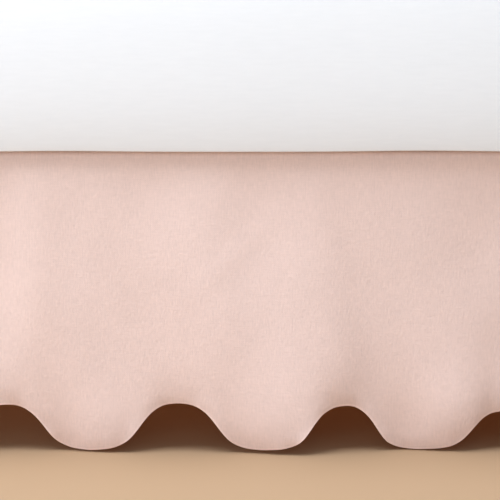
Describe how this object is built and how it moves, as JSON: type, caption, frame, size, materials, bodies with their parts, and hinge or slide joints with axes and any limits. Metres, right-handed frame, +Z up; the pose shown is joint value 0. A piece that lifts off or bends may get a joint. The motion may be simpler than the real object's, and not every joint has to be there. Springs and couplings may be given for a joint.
{
  "type": "bed skirt on a bed base with its mattress",
  "caption": "Tailored bed skirt with a scalloped hem: flat deck and drop panels over a low bed base, under a plain mattress.",
  "frame": {"origin": "on the floor, under the middle of the mattress", "axes": "+X along the bed towards its foot, +Y across the bed, +Z up; the side that faces -Y is the front"},
  "size_m": [1.9069, 0.9903, 0.6281],
  "materials": {
    "skirt_linen": "plain-woven blush linen and cotton, matt",
    "deck_cotton": "plain off-white cotton",
    "mattress_cover": "smooth white cotton, matt",
    "base_cover": "plain sand-coloured upholstery cloth",
    "leg_wood": "oiled pale beech"
  },
  "bodies": {
    "root": {"skirt_front": "skirt_linen", "skirt_back": "skirt_linen", "skirt_foot": "skirt_linen", "deck": "deck_cotton", "mattress": "mattress_cover", "bed_base": "base_cover", "leg_head_front": "leg_wood", "leg_head_back": "leg_wood", "leg_foot_front": "leg_wood", "leg_foot_back": "leg_wood"}
  },
  "joints": []
}
